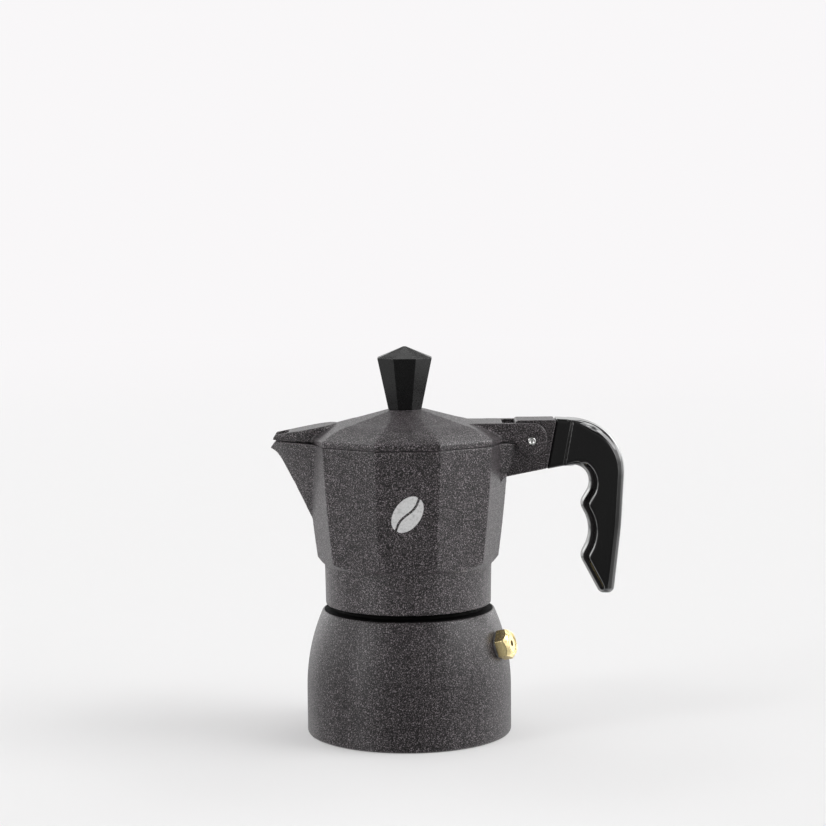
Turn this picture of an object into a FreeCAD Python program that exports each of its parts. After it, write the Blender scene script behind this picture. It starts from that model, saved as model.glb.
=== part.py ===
import FreeCAD, Part
import math
import os

# Stovetop moka pot, two cups. Millimetres, +Z up. The origin is the centre of the boiler's
# flat foot, on the boiler's axis. The spout points to -X and the handle to +X.

# ---- driving dimensions ----------------------------------------------------------------
SIDES = 10                    # the jug and its lid are ten-sided
FLAT = math.cos(math.pi / SIDES)  # flat distance over corner radius of the ten-sided shape
HALF_SIDE = 180.0 / SIDES     # turn that puts a corner of the ten-sided shape on +X

BOILER_R = 39.4               # boiler outside radius
BOILER_WALL = 2.8
BOILER_FLOOR = 3.2
SHOULDER_R = 74.0             # radius of the boiler's rounded shoulder, in section
SHOULDER_CORNER_Z = 33.2      # where the shoulder's two tangents meet
LEDGE_Z = 48.0                # flat ledge round the neck
LEDGE_R = 33.0
NECK_R = 28.0                 # threaded neck, root of the thread
NECK_BORE_R = 25.5
NECK_TOP_Z = 60.5

PITCH = 4.0                   # right-hand screw thread between boiler and jug
RIDGE_H = 1.0                 # height of the thread's ridge
RIDGE_ROOT_W = 2.0
RIDGE_CREST_W = 0.9
RIDGE_SINK = 0.3              # how deep a ridge is rooted in its wall
MALE_Z = 50.6                 # centre of the male ridge where it starts
MALE_TURNS = 2.2              # turns of the male ridge
FEMALE_LAG = 1.6              # the female ridge bears this far under the male one
FEMALE_START = 0.65           # turn at which the female ridge starts
FEMALE_TURNS = 2.1

COLLAR_Z = 50.1               # lower edge of the jug's collar
COLLAR_R = 32.0
COLLAR_THREAD_R = 29.5        # bore of the collar, root of the female thread
COLLAR_THREAD_TOP = 61.0
GASKET_BORE_R = 28.4
JUG_FLOOR_UNDER = 64.8
JUG_FLOOR = 67.6
RIM_Z = 112.4                 # jug rim
RIM_CORNER_R = 39.1           # corner radius of the ten-sided rim
JUG_FOOT_Z = 69.0
JUG_FOOT_CORNER_R = 35.0
JUG_BULGE = 0.45              # how far a flat side bulges between foot and rim
JUG_WALL = 2.5
CHAMFER_R = 32.1              # cone under the jug's ten-sided part
CHAMFER_Z = 65.7
CHAMFER_RISE = 0.85

FUNNEL_R = 24.9
FUNNEL_WALL = 0.8
FUNNEL_FLANGE_R = 27.6
FUNNEL_FLANGE = 0.9
FUNNEL_SEAT_Z = 45.0          # ledge that the basket's strainer rests on
FUNNEL_CONE_Z = 40.5
STEM_R = 5.0
STEM_WALL = 0.7
STEM_FOOT_Z = 6.0
STEM_SLEEVE = 4.0             # length of the stem's press fit in the basket
STRAINER = 0.6                # thickness of the perforated discs
STRAINER_HOLE_R = 0.75
STRAINER_RINGS = 5
STRAINER_STEP = 4.0           # distance between rings of holes

GASKET_R = 28.0
GASKET_BORE = 22.5
GASKET_Z = 61.6
GASKET_H = 3.0
PLATE_R = 23.9                # upper filter plate, let into the gasket
PLATE_REBATE = 0.7

COLUMN_ROOT_R = 7.0
COLUMN_TOP_R = 5.2
COLUMN_TOP_Z = 105.0
COLUMN_BORE_R = 3.0
COLUMN_SLOT_W = 3.6
COLUMN_SLOT_H = 5.5
COLUMN_CAP = 2.0              # closed end of the column over its bore

SPOUT_WALL = 1.9
SPOUT_ROOT_X = -30.0          # where the spout's wedge starts, inside the jug
SPOUT_ROOT_HALF = 18.0
SPOUT_LIP_X = -50.1
SPOUT_LIP_HALF = 4.7
SPOUT_LIP_RISE = 1.0          # lip above the jug's rim

PIN_X = 47.3                  # hinge axis, parallel to Y
PIN_Z = 113.2
PIN_R = 1.6
PIN_RUNNING = 0.05            # radial clearance of the pin in the lid's ears
BRACKET_HALF = 8.0
BRACKET_ROOT_X = 33.0         # inside the jug's wall
BRACKET_FRONT_X = 41.2
BRACKET_TOP_Z = 120.9
FLARE_HALF = 14.0             # half width of the bracket's root on the jug, at the rim
EAR_IN = 8.3
EAR_OUT = 11.0
EAR_R = 5.5
EAR_REACH = 5.9               # from the hinge axis to the ear's end
EAR_TOP_Z = 120.1

LID_GAP = 0.3                 # lid skirt above the jug rim
LID_SKIRT = 2.1
LID_SLOPE = 0.262             # slope of the lid's straight inner part, along a corner ridge
LID_APEX_Z = 126.9
LID_STRAIGHT_R = 24.0
LID_EDGE_SLOPE = 0.53
LID_WALL = 2.2
LID_CROWN = 0.9               # how far the lid's outer part bulges over its chord
LID_BACK_X = 36.4             # back of the lid, between the ears
BEAK_X = -50.3                # top corner of the beak that covers the spout
BEAK_TIP_Z = 116.0
BEAK_SLOPE = 0.175
BEAK_TIP_HALF = 5.8
BEAK_ROOT_HALF = 9.6
BEAK_NOTCH_X = -45.2          # notch cut in the beak's end, from here outward
BEAK_NOTCH_Z = 115.1
BEAK_RISE = 1.6               # how far the skirt rises towards the beak's tip

KNOB_X = -0.7                 # the knob sits a little towards the spout
KNOB_Z = 125.0
KNOB_RIM_Z = 144.7
KNOB_TOP_Z = 149.0
KNOB_FOOT_FLAT = 6.3          # octagon, centre to flat
KNOB_RIM_FLAT = 10.4
INSERT_R = 3.5                # threaded insert moulded into the knob
INSERT_H = 8.0
KNOB_SCREW_R = 1.5
KNOB_BOSS_R = 6.0
KNOB_BOSS_H = 4.2             # boss under the lid that the knob's screw bears on
KNOB_HOLE_R = 2.1             # hole through the lid for the knob's screw
KNOB_SEAT_R = 12.0            # flat on the lid's apex under the knob
WASHER_R = 3.9
WASHER_H = 0.8

HANDLE_HALF = 7.0
HANDLE_NECK_HALF = 5.4
HANDLE_EDGE = 2.0
TANG_HALF = 3.2              # half thickness of the bracket's tang inside the handle
TANG_END_X = 67.5
TANG_LOW_Z = 106.5
TANG_HIGH_Z = 115.5
SOCKET_PLAY = 0.05
HANDLE_SCREW_X = 62.0
HANDLE_SCREW_R = 1.5
SCREW_SEAT_Z = 104.6          # underside screw head bears here
SCREW_HEAD_R = 2.8
SCREW_ROOM_Z = 95.0           # the well for the screw's head opens below this height
SCREW_LENGTH = 9.0

VALVE_AZIMUTH = -22.5         # degrees from +X about Z
VALVE_TILT = 13.8             # degrees above the horizontal, square to the shoulder
VALVE_FLATS = 10.4
VALVE_TURN = 21.0             # degrees that the hexagon's corner stands above the horizontal
VALVE_HEAD = 5.5              # hexagon's front face, outside the boiler's skin
VALVE_CHAMFER = 2.0
VALVE_SHANK_R = 4.0
VALVE_SHANK = 8.0
VALVE_BORE_R = 2.6
VALVE_INLET_R = 1.5
VALVE_DISC_R = 3.3
VALVE_DISC_SEAT = 1.1         # depth of the disc's seat under the hexagon's face
VALVE_DISC_H = 0.85
VALVE_DISC_HOLE_R = 1.15
VALVE_SEAT = 0.5              # depth of the spot face that the washer sits on
VALVE_WASHER = 1.0
VALVE_WASHER_R = 4.8
VALVE_PAD_R = 7.0             # thicker wall inside the boiler round the valve
PIN_HEAD_R = 2.45             # head, stem and nose of the valve's pin
PIN_STEM_R = 0.9
PIN_STEM_END = 1.6
PIN_SEAT = -5.45
PIN_HEAD_H = 1.45
SPRING_TURNS = 6
SPRING_WIRE_R = 0.3
SPRING_R = 1.9

BIG = 120.0                   # reaches past every face of the pot
KNOB_WASHER_Z = KNOB_Z - KNOB_BOSS_H - WASHER_H


# ---- helpers -----------------------------------------------------------------------------
def vec(x, y, z):
    return FreeCAD.Vector(x, y, z)


def outline(corners):
    """Closed wire in the XZ plane through (x, z, fillet radius) corners."""
    edges = []
    count = len(corners)
    spans = []
    for i in range(count):
        x, z, radius = corners[i]
        here = vec(x, 0, z)
        if radius == 0:
            spans.append((here, None, here))
            continue
        before = vec(corners[i - 1][0], 0, corners[i - 1][1])
        after = vec(corners[(i + 1) % count][0], 0, corners[(i + 1) % count][1])
        back = (before - here).normalize()
        ahead = (after - here).normalize()
        half = back.getAngle(ahead) / 2
        reach = radius / math.tan(half)
        middle = (back + ahead).normalize()
        arc_mid = here + middle * (radius / math.sin(half) - radius)
        spans.append((here + back * reach, arc_mid, here + ahead * reach))
    for i in range(count):
        start, arc_mid, end = spans[i]
        if arc_mid is not None:
            edges.append(Part.Arc(start, arc_mid, end).toShape())
        next_start = spans[(i + 1) % count][0]
        if end.distanceToPoint(next_start) > 1e-6:
            edges.append(Part.makeLine(end, next_start))
    return Part.Wire(edges)


def turned(corners):
    """Solid of revolution about Z from (radius, z, fillet) corners."""
    face = Part.Face(outline(corners))
    return face.revolve(vec(0, 0, 0), vec(0, 0, 1), 360)


def slab_between(corners, y_low, y_high):
    """Plate between two Y planes, from a side view of (x, z, fillet radius) corners."""
    face = Part.Face(outline(corners))
    face.translate(vec(0, y_low, 0))
    return face.extrude(vec(0, y_high - y_low, 0))


def slab(corners, half_width):
    return slab_between(corners, -half_width, half_width)


def plan_prism(corners, z_low, z_high):
    """Outline in XY from (x, y, fillet radius) corners, standing from z_low to z_high."""
    face = Part.Face(outline(corners))
    face.rotate(vec(0, 0, 0), vec(1, 0, 0), -90)
    face.translate(vec(0, 0, z_low))
    return face.extrude(vec(0, 0, z_high - z_low))


def faceted(face, sides, first=0.0):
    """Common of the extruded section turned to every side of a regular polygon."""
    face = face.copy()
    face.translate(vec(0, -BIG, 0))
    prism = face.extrude(vec(0, 2 * BIG, 0))
    solid = None
    for i in range(sides):
        side = prism.copy()
        side.rotate(vec(0, 0, 0), vec(0, 0, 1), first + 360.0 / sides * i)
        solid = side if solid is None else solid.common(side)
    return solid


def rod(radius, start, axis, length):
    return Part.makeCylinder(radius, length, start, axis)


def block(low, high):
    size = [b - a for a, b in zip(low, high)]
    return Part.makeBox(size[0], size[1], size[2], vec(*low))


def polygon_face(points):
    return Part.Face(Part.makePolygon([vec(*p) for p in points] + [vec(*points[0])]))


def frustum(lower, upper):
    """Ruled solid between two quadrilaterals given as lists of points."""
    wires = [Part.makePolygon([vec(*p) for p in loop] + [vec(*loop[0])]) for loop in (lower, upper)]
    return Part.makeLoft(wires, True, True)


def mirrored(loop):
    """Quadrilateral from two (x, half width, z) points, mirrored across the XZ plane."""
    (xa, wa, za), (xb, wb, zb) = loop
    return [(xa, -wa, za), (xa, wa, za), (xb, wb, zb), (xb, -wb, zb)]


def thread_ridge(wall_r, inward, z_start, first_turn, turns):
    """Right-hand ridge on a wall of radius wall_r, standing inward or outward."""
    sign = -1 if inward else 1
    root = wall_r - sign * RIDGE_SINK
    crest = wall_r + sign * RIDGE_H
    z0 = z_start + first_turn * PITCH
    loop = [
        (root, 0, z0 - RIDGE_ROOT_W / 2),
        (crest, 0, z0 - RIDGE_CREST_W / 2),
        (crest, 0, z0 + RIDGE_CREST_W / 2),
        (root, 0, z0 + RIDGE_ROOT_W / 2),
    ]
    section = Part.makePolygon([vec(*p) for p in loop] + [vec(*loop[0])])
    helix = Part.makeHelix(PITCH, PITCH * turns, wall_r)
    helix.translate(vec(0, 0, z0))
    ridge = Part.Wire(helix.Edges).makePipeShell([section], True, True)
    ridge.rotate(vec(0, 0, 0), vec(0, 0, 1), 360.0 * first_turn)
    return ridge


def perforated_disc(radius, z_low):
    """Thin disc with rings of six, twelve, eighteen ... holes about a central one."""
    disc = rod(radius, vec(0, 0, z_low), vec(0, 0, 1), STRAINER)
    holes = []
    for ring in range(STRAINER_RINGS + 1):
        count = max(1, 6 * ring)
        reach = ring * STRAINER_STEP
        for i in range(count):
            angle = 2 * math.pi * i / count
            centre = vec(reach * math.cos(angle), reach * math.sin(angle), z_low - 1)
            holes.append(rod(STRAINER_HOLE_R, centre, vec(0, 0, 1), STRAINER + 2))
    return disc.cut(Part.makeCompound(holes))


# ---- safety valve axis -------------------------------------------------------------------
TILT = math.radians(VALVE_TILT)
AZIMUTH = math.radians(VALVE_AZIMUTH)
VALVE_DIR = vec(math.cos(TILT) * math.cos(AZIMUTH), math.cos(TILT) * math.sin(AZIMUTH), math.sin(TILT))
SHOULDER_START_Z = SHOULDER_CORNER_Z - SHOULDER_R * math.tan(
    math.atan2(BOILER_R - LEDGE_R, LEDGE_Z - SHOULDER_CORNER_Z) / 2)
VALVE_WALL_R = BOILER_R - SHOULDER_R + SHOULDER_R * math.cos(TILT)
VALVE_WALL_Z = SHOULDER_START_Z + SHOULDER_R * math.sin(TILT)
VALVE_AT = vec(VALVE_WALL_R * math.cos(AZIMUTH), VALVE_WALL_R * math.sin(AZIMUTH), VALVE_WALL_Z)


def along_valve(distance):
    """Point on the valve's axis, measured outward from the boiler's skin."""
    return VALVE_AT + VALVE_DIR * distance


def valve_rod(radius, start, end):
    return rod(radius, along_valve(start), VALVE_DIR, end - start)


# ---- boiler --------------------------------------------------------------------------------
def make_boiler():
    inner = BOILER_R - BOILER_WALL
    body = turned([
        (0, 0, 0),
        (BOILER_R, 0, 1.2),
        (BOILER_R, SHOULDER_CORNER_Z, SHOULDER_R),
        (LEDGE_R, LEDGE_Z, 0.7),
        (NECK_R, LEDGE_Z, 0),
        (NECK_R, NECK_TOP_Z, 0.4),
        (NECK_BORE_R, NECK_TOP_Z, 0.3),
        (NECK_BORE_R, 45.5, 2.0),
        (30.4, 44.4, 2.5),
        (inner, 31.5, 40.0),
        (inner, BOILER_FLOOR, 5.0),
        (0, BOILER_FLOOR, 0),
    ])
    body = body.fuse(thread_ridge(NECK_R, False, MALE_Z, 0, MALE_TURNS))
    body = body.fuse(valve_rod(VALVE_PAD_R, -6.0, -1.0))
    body = body.cut(valve_rod(VALVE_WASHER_R + 0.3, -VALVE_SEAT, 3.0))
    return body.cut(valve_rod(VALVE_SHANK_R, -9.0, 1.0))


def make_valve_washer():
    ring = valve_rod(VALVE_WASHER_R, -VALVE_SEAT, -VALVE_SEAT + VALVE_WASHER)
    return ring.cut(valve_rod(VALVE_SHANK_R, -VALVE_SEAT - 1, VALVE_WASHER + 1))


def make_valve_body():
    low = -VALVE_SEAT + VALVE_WASHER
    hex_r = VALVE_FLATS / math.sqrt(3)
    across = VALVE_DIR.cross(vec(0, 0, 1)).normalize()
    up = across.cross(VALVE_DIR)
    corners = []
    for i in range(7):
        angle = math.radians(60 * i + VALVE_TURN)
        corners.append(along_valve(low) + across * (hex_r * math.cos(angle)) + up * (hex_r * math.sin(angle)))
    nut = Part.Face(Part.makePolygon(corners)).extrude(VALVE_DIR * (VALVE_HEAD - low))
    # the chamfer: a cone that trims the hexagon's outer corners
    trim_r = hex_r + 0.3
    cone_foot = VALVE_HEAD - VALVE_CHAMFER
    cone = Part.makeCone(trim_r, VALVE_FLATS / 2 - 0.9, VALVE_CHAMFER, along_valve(cone_foot), VALVE_DIR)
    nut = nut.common(cone.fuse(valve_rod(trim_r, low - 1, cone_foot)))
    body = nut.fuse(valve_rod(VALVE_SHANK_R, -VALVE_SHANK, low))
    body = body.cut(valve_rod(VALVE_BORE_R, PIN_SEAT - 0.05, VALVE_HEAD + 1))
    body = body.cut(valve_rod(VALVE_DISC_R, VALVE_HEAD - VALVE_DISC_SEAT, VALVE_HEAD + 1))
    # shallow groove where the face was crimped over the disc
    groove_in = VALVE_DISC_R + 0.3
    groove = valve_rod(groove_in + 0.5, VALVE_HEAD - 0.35, VALVE_HEAD + 1)
    body = body.cut(groove.cut(valve_rod(groove_in, 0, VALVE_HEAD + 2)))
    return body.cut(valve_rod(VALVE_INLET_R, -VALVE_SHANK - 1, 0))


def make_valve_disc():
    seat = VALVE_HEAD - VALVE_DISC_SEAT
    disc = valve_rod(VALVE_DISC_R, seat, seat + VALVE_DISC_H)
    return disc.cut(valve_rod(VALVE_DISC_HOLE_R, 0, VALVE_HEAD + 2))


def make_valve_plunger():
    head_top = PIN_SEAT + PIN_HEAD_H
    head = valve_rod(PIN_HEAD_R, PIN_SEAT, head_top)
    nose_h = 0.8
    nose = Part.makeCone(0.6, VALVE_INLET_R - 0.1, nose_h, along_valve(PIN_SEAT - nose_h), VALVE_DIR)
    return head.fuse(nose).fuse(valve_rod(PIN_STEM_R, head_top, PIN_STEM_END))


def make_valve_spring():
    start = PIN_SEAT + PIN_HEAD_H + 0.05 + SPRING_WIRE_R
    end = VALVE_HEAD - VALVE_DISC_SEAT - 0.05 - SPRING_WIRE_R
    height = end - start
    helix = Part.makeHelix(height / SPRING_TURNS, height, SPRING_R)
    profile = Part.Wire(Part.makeCircle(SPRING_WIRE_R, vec(SPRING_R, 0, 0), vec(0, 1, 0)))
    coil = Part.Wire(helix.Edges).makePipeShell([profile], True, True)
    turn = FreeCAD.Rotation(vec(0, 0, 1), VALVE_DIR)
    coil.Placement = FreeCAD.Placement(along_valve(start), turn)
    return coil


# ---- funnel, strainers, gasket -----------------------------------------------------------
def make_funnel_basket():
    inner = FUNNEL_R - FUNNEL_WALL
    flange_top = NECK_TOP_Z + FUNNEL_FLANGE
    return turned([
        (FUNNEL_FLANGE_R, flange_top, 0.3),
        (inner, flange_top, 0.6),
        (inner, FUNNEL_SEAT_Z, 0),
        (inner - 1.4, FUNNEL_SEAT_Z, 0),
        (STEM_R + FUNNEL_WALL, FUNNEL_CONE_Z + 1, 2.0),
        (STEM_R, FUNNEL_CONE_Z, 0),
        (STEM_R, FUNNEL_CONE_Z - STEM_SLEEVE, 0),
        (STEM_R + FUNNEL_WALL, FUNNEL_CONE_Z - STEM_SLEEVE, 0),
        (STEM_R + FUNNEL_WALL, FUNNEL_CONE_Z - 0.3, 2.0),
        (FUNNEL_R, FUNNEL_SEAT_Z - 1.5, 1.5),
        (FUNNEL_R, NECK_TOP_Z, 0.4),
        (FUNNEL_FLANGE_R, NECK_TOP_Z, 0),
    ])


def make_funnel_stem():
    length = FUNNEL_CONE_Z - STEM_FOOT_Z
    body = rod(STEM_R, vec(0, 0, STEM_FOOT_Z), vec(0, 0, 1), length)
    return body.cut(rod(STEM_R - STEM_WALL, vec(0, 0, STEM_FOOT_Z - 1), vec(0, 0, 1), length + 2))


def make_funnel_strainer():
    return perforated_disc(FUNNEL_R - FUNNEL_WALL - 0.05, FUNNEL_SEAT_Z)


def make_gasket():
    top = GASKET_Z + GASKET_H
    return turned([
        (GASKET_BORE, GASKET_Z, 0.3),
        (GASKET_R, GASKET_Z, 0.4),
        (GASKET_R, top, 0.4),
        (PLATE_R, top, 0),
        (PLATE_R, top - PLATE_REBATE, 0),
        (GASKET_BORE, top - PLATE_REBATE, 0),
    ])


def make_filter_plate():
    return perforated_disc(PLATE_R - 0.02, GASKET_Z + GASKET_H - PLATE_REBATE)


# ---- jug -----------------------------------------------------------------------------------
def jug_section(inset, z_low, z_high):
    """Half section of the ten-sided wall, open towards the axis, as a face in XZ."""
    slope = (RIM_CORNER_R - JUG_FOOT_CORNER_R) / (RIM_Z - JUG_FOOT_Z)

    def side_x(z):
        part = (z - JUG_FOOT_Z) / (RIM_Z - JUG_FOOT_Z)
        bulge = 4 * JUG_BULGE * part * (1 - part)
        return (JUG_FOOT_CORNER_R + slope * (z - JUG_FOOT_Z) + bulge) * FLAT - inset

    low = vec(side_x(z_low), 0, z_low)
    middle = vec(side_x((z_low + z_high) / 2), 0, (z_low + z_high) / 2)
    high = vec(side_x(z_high), 0, z_high)
    edges = [
        Part.Arc(low, middle, high).toShape(),
        Part.makeLine(high, vec(-BIG, 0, z_high)),
        Part.makeLine(vec(-BIG, 0, z_high), vec(-BIG, 0, z_low)),
        Part.makeLine(vec(-BIG, 0, z_low), low),
    ]
    return Part.Face(Part.Wire(edges))


def spout_wedge(inset, z_lift, reach):
    """V-shaped spout between its two top edges and the curved keel below.

    inset thins it on every side for the channel, z_lift raises its top and reach carries
    it out past the lip.
    """
    root_half = SPOUT_ROOT_HALF - 1.25 * inset
    tip_half = SPOUT_LIP_HALF - 0.75 * inset - 0.55 * reach
    root_top = (SPOUT_ROOT_X, root_half, RIM_Z + z_lift)
    tip_top = (SPOUT_LIP_X - reach, tip_half, RIM_Z + SPOUT_LIP_RISE + z_lift)
    keel_points = [
        vec(-32.0 + 1.1 * inset, 0, 74.5 + 0.8 * inset),
        vec(-42.2 + 0.9 * inset, 0, 94.4 + 0.5 * inset),
        vec(-47.6 + 0.9 * inset, 0, 104.9 + 0.5 * inset),
        vec(-49.6 + 0.6 * inset, 0, 108.1 + 0.8 * inset),
        vec(-52.6 - reach, 0, 110.4 + 0.9 * inset + 0.5 * reach),
    ]
    keel_curve = Part.BSplineCurve()
    keel_curve.interpolate(keel_points)
    keel = keel_curve.toShape()
    faces = []
    for side in (-1, 1):
        top_edge = Part.makeLine(
            vec(root_top[0], side * root_top[1], root_top[2]), vec(tip_top[0], side * tip_top[1], tip_top[2]))
        faces.append(Part.makeRuledSurface(top_edge, keel))
    first = keel_points[0]
    last = keel_points[-1]
    faces.append(polygon_face(mirrored([root_top, tip_top])))
    for (x, half, z), foot in ((root_top, first), (tip_top, last)):
        faces.append(polygon_face([(x, -half, z), (x, half, z), (foot.x, 0, foot.z)]))
    shell = Part.makeShell(faces)
    shell.sewShape()
    solid = Part.makeSolid(shell)
    if solid.Volume < 0:
        solid.reverse()
    return solid


def make_bracket():
    """Hinge bracket behind the jug: arm, root flare and the tang that enters the handle."""
    arm = slab([
        (BRACKET_ROOT_X, RIM_Z, 0),
        (BRACKET_FRONT_X, RIM_Z, 0.8),
        (BRACKET_FRONT_X, BRACKET_TOP_Z, 1.0),
        (56.8, BRACKET_TOP_Z, 0.6),
        (53.3, 102.4, 0.6),
        (37.0, 99.2, 2.0),
        (BRACKET_ROOT_X, 93.0, 0),
    ], BRACKET_HALF)
    flare_foot_z = 99.5
    flare = frustum(
        mirrored([(BRACKET_ROOT_X, BRACKET_HALF + 1.4, flare_foot_z), (37.5, BRACKET_HALF, flare_foot_z)]),
        mirrored([(BRACKET_ROOT_X, FLARE_HALF, RIM_Z), (BRACKET_FRONT_X + 0.2, BRACKET_HALF + 1.9, RIM_Z)]))
    ear_sweep = rod(EAR_REACH + 0.5, vec(PIN_X, -BIG, PIN_Z), vec(0, 1, 0), 2 * BIG)
    flare = flare.cut(ear_sweep)
    tang = block((52.0, -TANG_HALF, TANG_LOW_Z), (TANG_END_X, TANG_HALF, TANG_HIGH_Z))
    return arm.fuse(flare).fuse(tang)


def make_column():
    return turned([
        (0, JUG_FLOOR - 1, 0),
        (COLUMN_ROOT_R, JUG_FLOOR - 1, 0),
        (COLUMN_TOP_R, COLUMN_TOP_Z, 2.5),
        (0, COLUMN_TOP_Z, 0),
    ])


def column_bore():
    """Cavity over the filter plate, the riser bore and the two outlets near its top."""
    bore_top = COLUMN_TOP_Z - COLUMN_CAP
    cavity_r = 20.0
    cavity = turned([
        (0, JUG_FLOOR_UNDER - 1, 0),
        (cavity_r, JUG_FLOOR_UNDER - 1, 0),
        (cavity_r, JUG_FLOOR_UNDER, 0),
        (COLUMN_BORE_R, JUG_FLOOR_UNDER + 1.6, 0),
        (COLUMN_BORE_R - 0.4, bore_top, 1.0),
        (0, bore_top, 0),
    ])
    slot_top = bore_top - 0.4
    slots = block(
        (-COLUMN_SLOT_W / 2, -COLUMN_ROOT_R - 1, slot_top - COLUMN_SLOT_H),
        (COLUMN_SLOT_W / 2, COLUMN_ROOT_R + 1, slot_top))
    return cavity.fuse(slots)


def make_upper_chamber():
    shell = faceted(jug_section(0, CHAMFER_Z - 2, RIM_Z), SIDES, HALF_SIDE)
    cone_top = RIM_CORNER_R + 5
    envelope = turned([
        (0, CHAMFER_Z - 1, 0),
        (CHAMFER_R, CHAMFER_Z - 1, 0),
        (CHAMFER_R, CHAMFER_Z, 0),
        (cone_top, CHAMFER_Z + CHAMFER_RISE * (cone_top - CHAMFER_R), 0),
        (cone_top, RIM_Z + 1, 0),
        (0, RIM_Z + 1, 0),
    ])
    shell = shell.common(envelope)
    shell = shell.fuse(spout_wedge(0, 0, 0))
    shell = shell.fuse(make_bracket())
    collar = turned([
        (0, COLLAR_Z, 0),
        (COLLAR_R - 0.2, COLLAR_Z, 0.5),
        (COLLAR_R + 0.1, CHAMFER_Z + 1.5, 0),
        (0, CHAMFER_Z + 1.5, 0),
    ])
    shell = shell.fuse(collar)
    hollow = faceted(jug_section(JUG_WALL, JUG_FLOOR - 1, RIM_Z + 5), SIDES, HALF_SIDE)
    floor_r = 27.0
    floor_cone = turned([
        (0, JUG_FLOOR, 0),
        (floor_r, JUG_FLOOR, 2.0),
        (BIG, JUG_FLOOR + BIG - floor_r, 0),
        (0, JUG_FLOOR + BIG, 0),
    ])
    shell = shell.cut(hollow.common(floor_cone))
    shell = shell.cut(spout_wedge(SPOUT_WALL, 4.0, 3.0))
    shell = shell.fuse(make_column())
    shell = shell.cut(column_bore())
    bore = rod(COLLAR_THREAD_R, vec(0, 0, COLLAR_Z - 1), vec(0, 0, 1), COLLAR_THREAD_TOP - COLLAR_Z + 1)
    bore = bore.fuse(rod(GASKET_BORE_R, vec(0, 0, COLLAR_Z), vec(0, 0, 1), JUG_FLOOR_UNDER - COLLAR_Z))
    shell = shell.cut(bore)
    female_z = MALE_Z - FEMALE_LAG
    shell = shell.fuse(thread_ridge(COLLAR_THREAD_R, True, female_z, FEMALE_START, FEMALE_TURNS))
    shell = shell.cut(rod(PIN_R, vec(PIN_X, -BIG, PIN_Z), vec(0, 1, 0), 2 * BIG))
    hole_length = SCREW_SEAT_Z + SCREW_LENGTH + 0.4 - (TANG_LOW_Z - 1)
    screw_hole = rod(HANDLE_SCREW_R, vec(HANDLE_SCREW_X, 0, TANG_LOW_Z - 1), vec(0, 0, 1), hole_length)
    return shell.cut(screw_hole)


# ---- lid -----------------------------------------------------------------------------------
def lid_section(inset, drop):
    """Half section of the lid's top in XZ, open towards the axis and downwards."""
    straight_x = LID_STRAIGHT_R * FLAT - inset
    straight_z = LID_APEX_Z - LID_SLOPE * LID_STRAIGHT_R - drop
    edge_x = RIM_CORNER_R * FLAT - inset
    edge_z = RIM_Z + LID_GAP + LID_SKIRT - drop
    middle = vec((straight_x + edge_x) / 2, 0, (straight_z + edge_z) / 2 + LID_CROWN)
    slope = LID_SLOPE / FLAT
    axis_z = straight_z + slope * straight_x
    far_z = axis_z + slope * BIG
    low = RIM_Z - 5
    edges = [
        Part.makeLine(vec(0, 0, axis_z), vec(straight_x, 0, straight_z)),
        Part.Arc(vec(straight_x, 0, straight_z), middle, vec(edge_x, 0, edge_z)).toShape(),
        Part.makeLine(vec(edge_x, 0, edge_z), vec(edge_x, 0, low)),
        Part.makeLine(vec(edge_x, 0, low), vec(-BIG, 0, low)),
        Part.makeLine(vec(-BIG, 0, low), vec(-BIG, 0, far_z)),
        Part.makeLine(vec(-BIG, 0, far_z), vec(0, 0, axis_z)),
    ]
    return Part.Face(Part.Wire(edges))


def make_beak():
    """Raised tongue over the spout, rounded at its root, with a notch in its end."""
    plan = plan_prism([
        (BEAK_X - 1.0, -BEAK_TIP_HALF, 0.8),
        (BEAK_X - 1.0, BEAK_TIP_HALF, 0.8),
        (-37.5, BEAK_ROOT_HALF, 6.0),
        (-27.5, BEAK_ROOT_HALF, 8.0),
        (-27.5, -BEAK_ROOT_HALF, 8.0),
        (-37.5, -BEAK_ROOT_HALF, 6.0),
    ], 100.0, 125.0)
    root_x = -20.0
    beak = plan.common(slab([
        (BEAK_X, BEAK_TIP_Z, 0.4),
        (root_x, BEAK_TIP_Z + BEAK_SLOPE * (root_x - BEAK_X), 0),
        (root_x, 108.0, 0),
        (BEAK_X - 4.5, 108.0, 0),
    ], 20.0))
    notch = plan_prism([
        (BEAK_X - 4.0, -4.0, 0),
        (BEAK_X - 4.0, 4.0, 0),
        (BEAK_NOTCH_X, 5.8, 1.0),
        (BEAK_NOTCH_X, -5.8, 1.0),
    ], BEAK_NOTCH_Z, 125.0)
    return beak.cut(notch)


def beak_hollow():
    """Underside of the beak, open downwards over the spout's channel."""
    low = RIM_Z + LID_GAP - 4
    root_x = -27.0
    root_half = 7.6
    tip_x = BEAK_X + 1.5
    tip_half = 4.4
    tip_top = 113.7
    root_top = 118.0
    return frustum(
        mirrored([(root_x, root_half, low), (root_x, root_half, root_top)]),
        mirrored([(tip_x, tip_half, low), (tip_x, tip_half, tip_top)]))


def make_ears(bottom, hollow):
    """The two hinge ears that stand beside the bracket."""
    ear_outline = [
        (30.0, EAR_TOP_Z, 0),
        (PIN_X + EAR_REACH, EAR_TOP_Z - 0.2, 5.4),
        (PIN_X + EAR_REACH, PIN_Z - EAR_R, EAR_R),
        (PIN_X - EAR_R, PIN_Z - EAR_R, EAR_R - 0.2),
        (PIN_X - EAR_R, bottom, 0.3),
        (30.0, bottom, 0),
    ]
    return slab(ear_outline, EAR_OUT).cut(slab(ear_outline, EAR_IN)).cut(hollow)


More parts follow.
